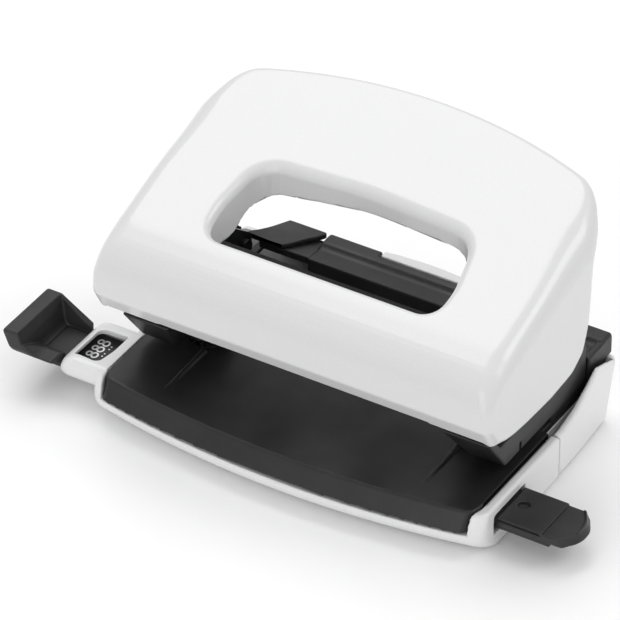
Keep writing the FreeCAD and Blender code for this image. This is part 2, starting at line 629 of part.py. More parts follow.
def handle_shell():
    half, wall = size("handle_half"), size("handle_wall")
    outline = FRONT + [TOP_START, TOP_END, (TOP_END[0], 71.6)] + CHEEK_EDGE
    outer = side_prism(outline, 2, (-22.9, 53.0), half)
    crown = [e for e in outer.Edges
             if abs(abs(e.CenterOfMass.x) - half) < 1e-6 and e.CenterOfMass.z > 40 and
             (e.CenterOfMass.y < -20 or (e.CenterOfMass.z > 64 and abs(e.CenterOfMass.y - 15.4) < 2))]
    outer = outer.makeFillet(3.0, crown)
    hollow = [(-21.6, 20.0), (-24.9, 38.6), (-24.4, 46.8), (-14.9, 53.3), (60.0, 78.6), (60.0, 20.0)]
    inner = side_prism(hollow, 2, (-21.4, 51.3), half - wall)
    shell = outer.cut(inner)
    shell = shell.fuse(opening_prism(1.6, 9.0, 53.0, 90.0).common(outer))
    shell = shell.cut(opening_prism(0.0, 7.4, 20.0, 90.0))
    rear = Part.Wire([Part.Arc(Vec(-60, 33.1, 0), Vec(0, REAR_EDGE, 0), Vec(60, 33.1, 0)).toShape(),
                      Part.makeLine(Vec(60, 33.1, 0), Vec(60, 60, 0)),
                      Part.makeLine(Vec(60, 60, 0), Vec(-60, 60, 0)),
                      Part.makeLine(Vec(-60, 60, 0), Vec(-60, 33.1, 0))])
    shell = shell.cut(Part.Face(rear).extrude(Vec(0, 0, 100)))
    low = size("lever_low") + size("lever_thick")
    posts = []
    for x, y in HANDLE_SCREWS:
        post = Part.makeCylinder(3.0, 30, Vec(x, y, low)).common(outer)
        posts.append(post.cut(Part.makeCylinder(1.25, 9, Vec(x, y, low - 1))))
    shell = shell.multiFuse(posts)
    return free_shape("handle_shell", shell.removeSplitter())


def lever_frame():
    """Steel lever: a cross plate over both pins and two arms down to the axle."""
    body = new_body("lever_frame")
    top = "@lever_low + @lever_thick"
    half_edge = [("9.5", "-6"), ("10.5", "-20.5"), ("17.5", "-20.5"), ("18.5", "-6"), ("36.5", "-6"),
                 ("38.0", "-12.4"), ("@arm_out", "-12.4"), ("@arm_out", "8.5")]
    plate = [("-" + x, y) for x, y in reversed(half_edge)] + half_edge
    extrude(body, "XY_Plane", plate, "@lever_low", top)
    arm = [("-9", top), ("-9", "@lever_low - 1"), ("-5", "33.2"), ("10.5", "32.2"), ("17.5", "27.4"),
           ("@pivot_back - 4.2", "@pivot_high + 0.6"), ("@pivot_back - 3.2", "@pivot_high - 3.0"),
           ("@pivot_back", "@pivot_high - 4.2"), ("@pivot_back + 3.2", "@pivot_high - 3.0"),
           ("@pivot_back + 4.2", "@pivot_high"), ("@pivot_back + 3.2", "@pivot_high + 3.0"),
           ("18.5", "34.6"), ("12.5", top)]
    for low, high in (("-@arm_out", "-@arm_in"), ("@arm_in", "@arm_out")):
        extrude(body, "YZ_Plane", arm, low, high)
    tail = [("@pivot_back - 2", "@pivot_high - 3.2"), ("@pivot_back - 1", "18.0"),
            ("@pivot_back + 2", "17.0"), ("38.0", "17.0"), ("38.0", "18.2"), ("31.0", "18.2"),
            ("@pivot_back + 3.2", "@pivot_high - 2.6")]
    extrude(body, "YZ_Plane", tail, "-@arm_out", "-@arm_in")
    extrude(body, "YZ_Plane", (("@pivot_back", "@pivot_high"), "@axle_dia + 2 * @run_clear"),
            "-50", "50", cut=True)
    for x, y in HANDLE_SCREWS:
        extrude(body, "XY_Plane", ((str(x), str(y)), "2.7"), "@lever_low - 1", "@lever_low + 3", cut=True)
    return body


def handle_screws():
    """Four screws that hold the handle shell on the lever."""
    group = []
    for x, y in HANDLE_SCREWS:
        name = "handle_screw_%d" % (len(group) + 1)
        shank = primitive("Cylinder", name + "_shank", (x, y, "@lever_low - 0.1"), Radius=1.2, Height=8.0)
        head = primitive("Cylinder", name + "_head", (x, y, "@lever_low - 1.5"), Radius=2.4, Height=1.5)
        group.append(combine("MultiFuse", name, shank, head))
    return combine("Compound", "handle_screws", *group)


# ---------------------------------------------------------------- assembly
pieces = [base_shell(), tray_plate(), base_mat(), die_bush(-1, "die_left"), die_bush(1, "die_right"),
          window_housing(), detent_spring(), guide_bar(), format_scale(), paper_stop(), bar_end_cap(),
          chip_drawer(), pivot_pin(-1, "pivot_pin_left"),
          pivot_pin(1, "pivot_pin_right"), axle_clips(), frame_screws(), rear_deck(), handle_lock(),
          handle_shell(), lever_frame(), handle_screws()]
for right, left_label in ((head_block_right(), "head_block_left"), (side_frame_right(), "side_frame_left")):
    pieces += [right, mirrored(right, left_label)]
for side, word in ((-1, "left"), (1, "right")):
    pieces.append(punch_pin(side, "punch_pin_" + word))
    pieces.append(spring_cap(side, "spring_cap_" + word))
    pieces.append(return_spring(side, "return_spring_" + word))
doc.recompute()

for obj in doc.Objects:
    if {"Invalid", "Error"} & set(obj.State):
        raise RuntimeError("%s failed: %s" % (obj.Label, obj.State))
for piece in pieces:
    if piece.Shape.isNull() or not piece.Shape.isValid() or not piece.Shape.Solids:
        raise RuntimeError("%s has no valid solid" % piece.Label)

os.makedirs("parts", exist_ok=True)
for piece in pieces:
    piece.Shape.exportStep("parts/%s.step" % piece.Label)
    box = piece.Shape.BoundBox
    print("%-20s %2d solid  %9.1f mm3  X %6.1f..%6.1f  Y %6.1f..%6.1f  Z %5.1f..%5.1f" % (
        piece.Label, len(piece.Shape.Solids), piece.Shape.Volume, box.XMin, box.XMax, box.YMin, box.YMax,
        box.ZMin, box.ZMax))
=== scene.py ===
"""Looks of the two-hole desk punch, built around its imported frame.

Each moulded piece is a field over space: millimetres from its skin, negative inside. One mesher turns
a field into an even, smooth skin, so rounded edges and fillets are part of the field itself.
"""
import math

import bpy
import numpy as np
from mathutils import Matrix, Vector


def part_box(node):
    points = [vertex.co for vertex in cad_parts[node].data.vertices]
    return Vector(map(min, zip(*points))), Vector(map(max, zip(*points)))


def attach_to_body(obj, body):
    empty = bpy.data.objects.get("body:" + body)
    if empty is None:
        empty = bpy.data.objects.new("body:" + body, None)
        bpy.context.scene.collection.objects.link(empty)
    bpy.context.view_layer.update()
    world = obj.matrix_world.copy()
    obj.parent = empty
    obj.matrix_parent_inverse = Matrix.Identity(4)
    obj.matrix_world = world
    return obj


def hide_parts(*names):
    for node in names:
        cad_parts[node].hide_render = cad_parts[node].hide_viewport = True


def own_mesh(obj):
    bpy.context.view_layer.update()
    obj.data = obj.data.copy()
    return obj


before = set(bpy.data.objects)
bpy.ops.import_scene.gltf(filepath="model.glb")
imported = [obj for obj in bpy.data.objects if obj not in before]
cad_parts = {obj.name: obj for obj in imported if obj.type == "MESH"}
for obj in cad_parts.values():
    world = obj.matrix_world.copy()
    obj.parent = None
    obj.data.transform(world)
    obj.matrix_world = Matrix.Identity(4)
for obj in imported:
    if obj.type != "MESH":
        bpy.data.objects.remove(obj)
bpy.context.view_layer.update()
MM = 0.001


def node_box(name):
    """Lowest and highest corner of a CAD node in millimetres."""
    low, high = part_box(name)
    return np.array(low) / MM, np.array(high) / MM


TRAY_LOW, TRAY_HIGH = node_box("tray_plate")
BASE_LOW, BASE_HIGH = node_box("base_shell")
BAR_LOW, BAR_HIGH = node_box("guide_bar")
HANDLE_HIGH = node_box("handle_shell")[1]
DECK_LOW, DECK_HIGH = node_box("rear_deck")
HEAD_LOW, HEAD_HIGH = node_box("head_block_right")
STOP_LOW, STOP_HIGH = node_box("paper_stop")
CAP_LOW = node_box("bar_end_cap")[0]
HOUSE_LOW, HOUSE_HIGH = node_box("window_housing")
PAPER = HOUSE_HIGH[2]
TRAY_HALF = TRAY_HIGH[0]
BASE_HALF = BASE_HIGH[0]
RIM_TOP = PAPER - 0.4        # top of the white rim round the tray
PIN_AT = 40.0                # the two punching axes
SEAM = 10.0                  # where the base ends and the chip drawer begins
WALL = 2.0                   # thickness of the moulded walls
SKIN_GAP = 0.05              # play between the bar and the pieces fixed on it
HINGE = (26.0, 23.5)         # Y and Z of the handle's hinge


# ---------------------------------------------------------------- fields
def both(a, b, r=0.0):
    """What two fields share; the outer edge between them is rounded by r."""
    return np.minimum(-r, np.maximum(a, b)) + np.hypot(np.maximum(a + r, 0), np.maximum(b + r, 0))


def either(a, b, r=0.0):
    """The union of two fields, with a fillet of r in the inner corner."""
    return np.maximum(r, np.minimum(a, b)) - np.hypot(np.maximum(r - a, 0), np.maximum(r - b, 0))


def without(a, b, r=0.0):
    """The first field with the second cut away; the new edge is rounded by r."""
    return both(a, -b, r)


def span(v, low, high):
    """A slab between two places on one axis."""
    return np.abs(v - (low + high) / 2) - (high - low) / 2


def block(p, low, high, r=0.3):
    """A box with rounded edges."""
    d = [span(v, a, b) + r for v, a, b in zip(p, low, high)]
    outside = np.sqrt(sum(np.maximum(v, 0) ** 2 for v in d))
    return outside + np.minimum(np.maximum(np.maximum(d[0], d[1]), d[2]), 0) - r


def ramp(v, low, high):
    """0 below low, 1 above high, and smooth between."""
    t = np.clip((v - low) / (high - low), 0, 1)
    return t * t * (3 - 2 * t)


def past(v, soft=4.0):
    """v where it is positive and 0 where it is negative, with a soft bend between."""
    return 0.5 * (v + np.sqrt(v * v + soft * soft))


def outline(corners, steps=5):
    """A closed outline whose corners (u, v, radius) are turned with arcs."""
    points = []
    for i, (u, v, radius) in enumerate(corners):
        here = np.array((u, v), float)
        ways = [np.array(corners[(i + k) % len(corners)][:2], float) - here for k in (-1, 1)]
        a, b = (w / np.linalg.norm(w) for w in ways)
        half = 0.5 * math.acos(np.clip(a @ b, -1, 1))
        if radius == 0 or half > 1.56:
            points.append(here)
            continue
        middle = here + (a + b) / np.linalg.norm(a + b) * radius / math.sin(half)
        start, end = (here + w * radius / math.tan(half) - middle for w in (a, b))
        first = math.atan2(start[1], start[0])
        turn = (math.atan2(end[1], end[0]) - first + math.pi) % (2 * math.pi) - math.pi
        for k in range(steps + 1):
            angle = first + turn * k / steps
            points.append(middle + radius * np.array((math.cos(angle), math.sin(angle))))
    return np.array(points)


def within(points, u, v):
    """Distance to a closed outline, negative inside."""
    near, sign = np.full(np.broadcast(u, v).shape, 1e9), 1.0
    for (u0, v0), (u1, v1) in zip(points, np.roll(points, -1, axis=0)):
        eu, ev = u1 - u0, v1 - v0
        wu, wv = u - u0, v - v0
        t = np.clip((wu * eu + wv * ev) / (eu * eu + ev * ev), 0, 1)
        near = np.minimum(near, (wu - eu * t) ** 2 + (wv - ev * t) ** 2)
        above, below = v >= v0, v < v1
        left = eu * wv > ev * wu
        flip = (above & below & left) | ~(above | below | left)
        sign = np.where(flip, -sign, sign)
    return sign * np.sqrt(near)


def rod(u, v, centre, radius):
    """A round bar along the third axis."""
    return np.hypot(u - centre[0], v - centre[1]) - radius


# ---------------------------------------------------------------- mesher
CORNERS = [(i, j, k) for i in (0, 1) for j in (0, 1) for k in (0, 1)]
EDGES = [(a, b) for a in range(8) for b in range(a + 1, 8)
         if sum(abs(p - q) for p, q in zip(CORNERS[a], CORNERS[b])) == 1]


def slopes(field, points, reach=0.02):
    """The field's gradient at each point."""
    result = np.empty_like(points)
    for k in range(3):
        ahead, behind = points.copy(), points.copy()
        ahead[:, k] += reach
        behind[:, k] -= reach
        result[:, k] = (field(*ahead.T) - field(*behind.T)) / (2 * reach)
    return result


def skin(field, low, high, step):
    """Vertices, quads and normals of a field's zero surface inside a box."""
    axes = [np.arange(low[k] - 1.6 * step, high[k] + 2.6 * step, step) for k in range(3)]
    shape = tuple(len(a) for a in axes)
    grid = field(axes[0][:, None, None], axes[1][None, :, None], axes[2][None, None, :])
    grid = np.broadcast_to(grid, shape)
    solid = grid < 0
    cell_shape = tuple(n - 1 for n in shape)
    count = np.zeros(cell_shape, int)
    for i, j, k in CORNERS:
        count += solid[i:i + cell_shape[0], j:j + cell_shape[1], k:k + cell_shape[2]]
    active = (count > 0) & (count < 8)
    number = np.full(cell_shape, -1)
    number[active] = np.arange(active.sum())
    cells = np.argwhere(active)
    values = np.stack([grid[tuple((cells + c).T)] for c in CORNERS], axis=1)
    total, hits = np.zeros((len(cells), 3)), np.zeros(len(cells))
    for a, b in EDGES:
        va, vb = values[:, a], values[:, b]
        cross = (va < 0) != (vb < 0)
        t = np.where(cross, va / np.where(cross, va - vb, 1), 0)
        place = np.array(CORNERS[a]) + t[:, None] * (np.array(CORNERS[b]) - np.array(CORNERS[a]))
        total += place * cross[:, None]
        hits += cross
    points = np.array([a[0] for a in axes]) + step * (cells + total / hits[:, None])
    for _ in range(3):
        slope = slopes(field, points)
        square = np.maximum((slope * slope).sum(1), 0.05)
        move = (field(*points.T) / square)[:, None] * slope
        length = np.linalg.norm(move, axis=1, keepdims=True)
        points -= move * np.minimum(1, 0.6 * step / np.maximum(length, 1e-9))
    quads = []
    for a in range(3):
        b, c = (a + 1) % 3, (a + 2) % 3
        first = np.moveaxis(solid, (a, b, c), (0, 1, 2))
        names = np.moveaxis(number, (a, b, c), (0, 1, 2))
        changed = first[:-1, 1:-1, 1:-1] != first[1:, 1:-1, 1:-1]
        i, j, k = np.argwhere(changed).T
        ring = np.stack([names[i, j, k], names[i, j + 1, k],
                         names[i, j + 1, k + 1], names[i, j, k + 1]], axis=1)
        outward = first[i, j + 1, k + 1]
        quads.append(np.where(outward[:, None], ring, ring[:, ::-1]))
    normal = slopes(field, points)
    normal /= np.maximum(np.linalg.norm(normal, axis=1, keepdims=True), 1e-9)
    return points, np.concatenate(quads), normal


def new_object(name, points, faces, normals=None, smooth=True):
    """A mesh object from points in millimetres."""
    mesh = bpy.data.meshes.new(name)
    mesh.from_pydata((np.asarray(points) * MM).tolist(), [], [list(map(int, f)) for f in faces])
    mesh.polygons.foreach_set("use_smooth", np.full(len(mesh.polygons), smooth))
    mesh.update()
    if normals is not None:
        mesh.normals_split_custom_set_from_vertices(normals.tolist())
    obj = bpy.data.objects.new(name, mesh)
    bpy.context.scene.collection.objects.link(obj)
    return obj


def attach(obj, body, slot, material, *nodes):
    """Give a piece its body and material, and hide the CAD nodes that it stands for; the slot argument is
    not used.
    """
    obj.data.materials.append(material)
    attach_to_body(obj, body)
    if nodes:
        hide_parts(*nodes)
    return obj


def moulded(node, field, step, body, slot, material, low=None, high=None):
    """A moulded piece for one CAD node, meshed inside the node's box or between low and high."""
    box_low, box_high = node_box(node)
    low = box_low if low is None else low
    high = box_high if high is None else high
    obj = new_object(node + "_skin", *skin(field, low, high, step))
    return attach(obj, body, slot, material, node)


# ---------------------------------------------------------------- materials
class Nodes:
    """Short names for building one material's node tree."""

    def __init__(self, name):
        self.material = bpy.data.materials.new(name)
        self.material.use_nodes = True
        self.tree = self.material.node_tree
        self.shader = self.tree.nodes["Principled BSDF"]
        self.where = self.tree.nodes.new("ShaderNodeTexCoord").outputs["Object"]

    def add(self, kind, **inputs):
        node = self.tree.nodes.new("ShaderNode" + kind)
        for key, value in inputs.items():
            socket = node.inputs[key.replace("_", " ")]
            if isinstance(value, bpy.types.NodeSocket):
                self.tree.links.new(value, socket)
            else:
                socket.default_value = value
        return node

    def noise(self, size_mm, detail=2.0, stretch=(1, 1, 1)):
        """Noise whose grains are about size_mm across."""
        scaled = self.add("Mapping", Vector=self.where, Scale=stretch)
        node = self.add("TexNoise", Vector=scaled.outputs[0], Scale=1 / (size_mm * MM), Detail=detail)
        return node.outputs["Fac"]

    def between(self, source, low, high, start=0.3, stop=0.7):
        """Spread a noise between two numbers."""
        node = self.add("MapRange", Value=source)
        for key, value in (("From Min", start), ("From Max", stop), ("To Min", low), ("To Max", high)):
            node.inputs[key].default_value = value
        return node.outputs[0]

    def tint(self, source, dark, light):
        """Spread a noise between two colours."""
        node = self.add("MixRGB", Fac=source)
        node.inputs[1].default_value = (*dark, 1)
        node.inputs[2].default_value = (*light, 1)
        self.tree.links.new(node.outputs[0], self.shader.inputs["Base Color"])

    def rough(self, source):
        self.tree.links.new(source, self.shader.inputs["Roughness"])

    def bumps(self, *layers):
        """Stack bump layers, each (height source, depth in millimetres)."""
        last = None
        for source, depth in layers:
            node = self.add("Bump", Height=source, Distance=depth * MM, Strength=1.0)
            if last is not None:
                self.tree.links.new(last, node.inputs["Normal"])
            last = node.outputs[0]
        self.tree.links.new(last, self.shader.inputs["Normal"])

    def fixed(self, **values):
        for key, value in values.items():
            self.shader.inputs[key.replace("_", " ")].default_value = value


def gloss_white(name, dark, light, grain_mm, grain_depth, coat):
    """White gloss moulding with a faint orange peel and fine pearl grain."""
    m = Nodes(name)
    fleck = m.noise(grain_mm, 2)
    m.tint(m.between(fleck, 0, 1, 0.25, 0.75), dark, light)
    m.rough(m.between(m.noise(18, 2), 0.26, 0.34, 0, 1))
    m.bumps((m.noise(5, 1), 0.003), (fleck, grain_depth))
    m.fixed(Coat_Weight=coat, Coat_Roughness=0.12, IOR=1.5)
    return m.material


def satin_black(name, dark, light, rough, grain_mm=0.55, grain_depth=0.014):
    """Black moulding with spark-eroded grain, slightly uneven gloss and faint handling marks."""
    m = Nodes(name)
    m.tint(m.between(m.noise(9, 4), 0, 1), dark, light)
    m.rough(m.between(m.noise(14, 4), rough - 0.06, rough + 0.08))
    m.bumps((m.noise(grain_mm, 3), grain_depth), (m.noise(7, 2), 0.01))
    m.fixed(IOR=1.5, Specular_IOR_Level=0.4)
    return m.material


def steel(name, dark, light, rough, stretch):
    """Steel with rolling or grinding lines along one axis."""
    m = Nodes(name)
    lines = m.noise(0.5, 4, stretch)
    m.tint(m.between(lines, 0, 1), dark, light)
    m.rough(m.between(m.noise(4, 3), rough - 0.07, rough + 0.1))
    m.bumps((lines, 0.004))
    m.fixed(Metallic=1.0)
    return m.material


def ribbed_rubber():
    """Matt rubber with fine ribs across."""
    m = Nodes("rubber")
    wave = m.add("TexWave", Vector=m.where, Scale=180.0, Distortion=0.0)
    m.tint(m.between(m.noise(3, 3), 0, 1), (0.03, 0.03, 0.031), (0.05, 0.05, 0.052))
    m.rough(m.between(m.noise(2, 2), 0.75, 0.9))
    m.bumps((wave.outputs["Fac"], 0.15), (m.noise(0.4, 2), 0.02))
    return m.material


HANDLE_WHITE = gloss_white("handle_pearl", (0.665, 0.665, 0.67), (0.705, 0.705, 0.705), 0.32, 0.004, 0.5)
BASE_WHITE = gloss_white("base_white", (0.75, 0.75, 0.755), (0.79, 0.79, 0.792), 0.5, 0.002, 0.3)
BLACK = satin_black("black_satin", (0.012, 0.012, 0.0125), (0.019, 0.019, 0.0195), 0.42)
BAR_BLACK = satin_black("bar_black", (0.018, 0.018, 0.0185), (0.028, 0.028, 0.0285), 0.46)
PRINT_BLACK = satin_black("print_black", (0.025, 0.025, 0.025), (0.035, 0.035, 0.035), 0.5)
PRINT_WHITE = satin_black("print_white", (0.90, 0.90, 0.90), (0.97, 0.97, 0.97), 0.55, 0.3, 0.004)
RUBBER = ribbed_rubber()
GROUND_STEEL = steel("ground_steel", (0.50, 0.50, 0.51), (0.66, 0.66, 0.66), 0.26, (1, 1, 0.08))
SHEET_STEEL = steel("blackened_steel", (0.030, 0.031, 0.033), (0.050, 0.050, 0.052), 0.42, (0.08, 1, 1))
WIRE_STEEL = steel("wire_steel", (0.45, 0.45, 0.46), (0.60, 0.60, 0.60), 0.28, (1, 1, 1))
SCREW_STEEL = steel("screw_steel", (0.48, 0.48, 0.49), (0.60, 0.60, 0.60), 0.32, (1, 1, 1))

for node_names, finish in (
        (("base_mat",), RUBBER),
        (("die_left", "die_right", "punch_pin_left", "punch_pin_right"), GROUND_STEEL),
        (("side_frame_left", "side_frame_right", "lever_frame", "pivot_pin_left", "pivot_pin_right",
          "axle_clips"), SHEET_STEEL),
        (("spring_cap_left", "spring_cap_right", "detent_spring"), WIRE_STEEL),
        (("frame_screws", "handle_screws"), SCREW_STEEL)):
    for node_name in node_names:
        for material_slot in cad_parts[node_name].material_slots:
            material_slot.material = finish


# ---------------------------------------------------------------- base
WAIST = 7.6                  # height of the front wall's widest line
FRONT_EDGE, FRONT_BOW = -29.4, 6.6      # Y of the front wall at its ends, and its bow in the middle
FLOOR_LOW, FLOOR_HIGH = 1.2, 2.8
RAIL_IN, RAIL_OUT, RAIL_TOP = 49.5, 52.5, 11.6
TRAY_GAP = 0.12              # between the tray and the rim round it


def base_front(x, z):
    """Y of the white front wall: bowed forward in the middle, tucked in below its widest line."""
    bow = FRONT_BOW * (1 - (x / BASE_HALF) ** 2)
    below = 6.0 * ((WAIST - z) / 7.0) ** 2
    above = 1.6 * ((z - WAIST) / 5.6) ** 2
    return FRONT_EDGE - bow + np.where(z < WAIST, below, above)


def base_field(x, y, z):
    """The white base: rim, floor, drawer rails and the two slots that the bar passes through."""
    side, front = np.abs(x) - BASE_HALF, base_front(x, z) - y
    plan = both(side, front, 3.2)
    body = both(both(both(plan, z - RIM_TOP, 0.9), 0.6 - z, 0.6), y - SEAM, 0.1)
    room = both(both(np.abs(x) - (BASE_HALF - WALL), front + 2.2, 3.0), span(z, FLOOR_HIGH, PAPER - 2.2))
    beside = np.abs(x) - (tray_half(y) + TRAY_GAP)
    well = both(beside, 11.0 - z)
    mouth = both(beside, both(y + 24, 7.7 - z))
    body = without(without(without(body, room, 0.3), well, 0.5), mouth, 0.4)
    floor = block((x, y, z), (-RAIL_OUT, 2, FLOOR_LOW), (RAIL_OUT, 35.2, FLOOR_HIGH))
    rail = block((np.abs(x), y, z), (RAIL_IN, 2, FLOOR_LOW), (RAIL_OUT, 36, RAIL_TOP))
    wing = block((np.abs(x), y, z), (RAIL_IN, 8.4, FLOOR_LOW), (55.7, SEAM, RAIL_TOP), 0.2)
    body = either(either(either(body, floor), rail, 0.5), wing)
    mat_recess = block((x, y, z), (-50.3, -24.3, -1), (50.3, 34.3, FLOOR_LOW), 0.2)
    left_slot = block((x, y, z), (-61, -22.6, 5.6), (-52.7, -6.6, 10.0), 0.5)
    right_slot = block((x, y, z), (52.7, -22.8, 4.6), (61, -7.2, 10.35), 0.5)
    return without(without(without(body, mat_recess), left_slot, 0.3), right_slot, 0.3)


def tray_half(y):
    """Half-width of the black tray: it flares just behind its front corners."""
    return TRAY_HALF + 1.2 * ramp(y, -30, -22)


def tray_front(x, z):
    """Y of the black tray's sloping front face."""
    return -27.9 - 4.85 * (1 - (x / TRAY_HALF) ** 2) - 0.54 * (PAPER - z)


RIDGE_AT = 37.5              # X of the two guide ridges
RIDGE_FRONT, RIDGE_BACK = -24.0, -5.4
TRAY_BACK, TRAY_UNDER = 37.5, 7.75


def tray_field(x, y, z):
    """The black tray: a thin folded plate with the paper's back stop, two ridges and the pin bores."""
    front = tray_front(x, z) - y
    side = np.abs(x) - tray_half(y)
    top = z - PAPER
    body = both(both(side, front, 2.0), top, 0.7)
    body = both(both(body, y - TRAY_BACK), TRAY_UNDER - z, 0.3)
    hollow = both(both(np.abs(x) - TRAY_HALF - 5, front + WALL), top + WALL)
    drawer_corner = both(RAIL_OUT - np.abs(x), 9.8 - y)
    body = without(without(body, hollow, 0.2), drawer_corner, 0.2)
    back_stop = block((x, y, z), (-47, 12, 13), (47, 13.6, 16.2), 0.4)
    body = either(body, back_stop, 0.5)
    rise = np.clip((y - RIDGE_FRONT) / (RIDGE_BACK - RIDGE_FRONT), 0, 1)
    ridge = both(np.abs(np.abs(x) - RIDGE_AT) - (0.25 + 0.5 * rise), top - 0.7 * rise, 0.25)
    ridge = both(ridge, both(span(y, RIDGE_FRONT, RIDGE_BACK), PAPER - 1 - z), 0.2)
    body = either(body, ridge, 0.35)
    bores = both(rod(np.abs(x), y, (PIN_AT, 0), 4.55), span(z, 10, 15))
    return without(body, bores, 0.15)


HOUSE_FRONT, HOUSE_BACK = -27.3, -5.8
HOUSE_END = -54.75           # X of its inner end, which runs over the base's rim
HOUSE_PLAN = outline([(-69.4, HOUSE_FRONT, 4.2), (-50.0, HOUSE_FRONT, 0), (-50.0, HOUSE_BACK, 0),
                      (-69.4, HOUSE_BACK, 2.4)])
WINDOW_PLAN = outline([(-65.9, -22.9, 0.6), (-58.6, -23.4, 1.8), (-57.6, -17.5, 12),
                       (-57.5, -10.4, 0.6), (-65.7, -10.9, 1.8)])


def housing_field(x, y, z):
    """The window housing, with its bar tunnel, the chamber over the print and the window."""
    plan = within(HOUSE_PLAN, x, y)
    tuck = np.minimum(0.25 * np.maximum(10.0 - z, 0) ** 2, 7.0)
    plan = both(plan, HOUSE_FRONT + 0.1 + tuck - y, 2.0)
    slope = (z - PAPER) * 0.72 - (x + 66.9) * 0.69
    body = both(both(both(plan, z - PAPER + 0.2, 3.0), slope, 2.5), 2.4 - z, 0.8)
    body = both(body, x - HOUSE_END, 0.15)
    tunnel = block((x, y, z), (-71, -22.0, 5.7), (-56, -8.0, 9.9), 0.4)
    chamber = block((x, y, z), (-67.4, -22.8, 8), (-57.3, -7.9, 11.7), 0.4)
    window = both(within(WINDOW_PLAN, x, y), 9.6 - z)
    return without(without(without(body, tunnel, 0.2), chamber, 0.2), window, 0.4)


def build_base():
    low = np.array((-BASE_HALF, -36.2, BASE_LOW[2]))
    high = np.array((BASE_HALF, 36.0, PAPER))
    moulded("base_shell", base_field, 0.62, "base", "white_plastic", BASE_WHITE, low, high)
    low, high = TRAY_LOW.copy(), TRAY_HIGH.copy()
    low[1] = -35.4
    moulded("tray_plate", tray_field, 0.5, "base", "black_plastic", BLACK, low, high)
    low, high = HOUSE_LOW.copy(), HOUSE_HIGH.copy()
    high[:2] = -54.7, -5.7   # further in and back than the CAD node
    moulded("window_housing", housing_field, 0.3, "base", "white_plastic", BASE_WHITE, low, high)


# ---------------------------------------------------------------- format bar
def bar_field(x, y, z):
    """The bar, with the groove along its front edge."""
    body = block((x, y, z), BAR_LOW, BAR_HIGH, 0.35)
    slot = block((x, y, z), (-75.5, BAR_LOW[1] - 2, BAR_LOW[2] + 1.0),
                 (50, BAR_LOW[1] + 0.9, BAR_HIGH[2] - 0.7), 0.1)
    return without(body, slot, 0.15)


STOP_BACK = [(-79.4, 17.5, 0.5), (-84.6, 17.5, 1.0), (-82.6, 12.6, 6), (-79.6, 5.8, 1.5)]
STOP_SIDE = outline([(-69.7, 5.8, 0.4), (-69.7, 11.7, 0.5), (-74.0, 11.8, 5), (-77.8, 14.0, 5)] + STOP_BACK)
STOP_REAR = outline([(-69.7, 5.8, 0.4), (-69.7, 11.6, 0.3)] + STOP_BACK)
SCOOP_SIDE = outline([(-60, 9.25, 0), (-77.2, 9.25, 2.4), (-79.2, 17.6, 0), (-79.2, 22, 0), (-60, 22, 0)])


def stop_field(x, y, z):
    """The paper stop: a concave ramp that becomes a straight gusset at its rear end."""
    tail = ramp(y, -12, -8.2)
    side = within(STOP_SIDE, x, z) * (1 - tail) + within(STOP_REAR, x, z) * tail
    tuck = np.minimum(0.25 * np.maximum(13.0 - z, 0) ** 2, 6.4)
    body = both(both(side, STOP_LOW[1] + 0.1 + tuck - y, 0.9), y - STOP_HIGH[1] + 0.1, 0.7)
    wide = ramp(z, 9.8, 16)
    across = span(y, BAR_LOW[1] + 0.5 - 9 * wide, BAR_HIGH[1] - 1.3 + 0.8 * wide)
    body = without(body, both(within(SCOOP_SIDE, x, z), across, 0.6), 0.5)
    socket = block((x, y, z), (-78.6, BAR_LOW[1] - SKIN_GAP, 3),
                   (-60, BAR_HIGH[1] + SKIN_GAP, BAR_HIGH[2] + 0.04), 0.05)
    return without(body, socket, 0.1)


CAP_PLAN = outline([(57.4, -22.2, 0.3), (75.0, -22.2, 4.2), (78.9, -17.4, 7), (78.9, -12.4, 6),
                    (76.2, -7.8, 1.5), (57.4, -7.8, 0.3)])
DISH_PLAN = outline([(70.5, -25, 0), (76.3, -21.9, 4.0), (77.7, -16.0, 7), (76.9, -11.2, 4),
                     (75.2, -8.6, 1.0), (72.5, -6.0, 0), (70.5, -6, 0)])
CAP_FLARE = 1.3              # how far its lowered end widens towards the bottom


def cap_field(x, y, z):
    """The thumb piece: a lowered end that flares outwards below, a dimple and a slit at the front."""
    flare = CAP_FLARE * ramp(-z, -9.6, -6.4) * ramp(x, 70, 74)
    plan = within(CAP_PLAN, x + (CAP_FLARE - flare), y)
    plan = np.where(x < 66, within(CAP_PLAN, x, y), plan)
    tuck = 0.42 * np.maximum(8.3 - z, 0) ** 2
    plan = both(plan, CAP_LOW[1] + 0.1 + tuck - y, 0.6)
    body = both(both(plan, z - 9.9, 0.45), 5.45 - z + 1.5 * ramp(x, 72.0, 76.5), 0.6)
    dish = both(within(DISH_PLAN, x + 0.4, y), 9.25 - z)
    dimple = both(rod(x, y, (60.8, -14.4), 1.55), 9.3 - z)
    slit = block((x, y, z), (56, -24, 8.75), (69.4, -21.7, 9.3), 0.1)
    body = without(without(without(body, dish, 0.35), dimple, 0.3), slit, 0.1)
    socket = block((x, y, z), (50, BAR_LOW[1] - SKIN_GAP, BAR_LOW[2] - SKIN_GAP),
                   (69.8, BAR_HIGH[1] + SKIN_GAP, BAR_HIGH[2] + SKIN_GAP), 0.05)
    return without(body, socket)


STRIP_DEPTH = 1.4            # the strip reaches down into the bar, so that the mesher can resolve it
STRIP_LOW, STRIP_HIGH = node_box("format_scale")
PRINT_LEVEL = STRIP_HIGH[2] + 0.01


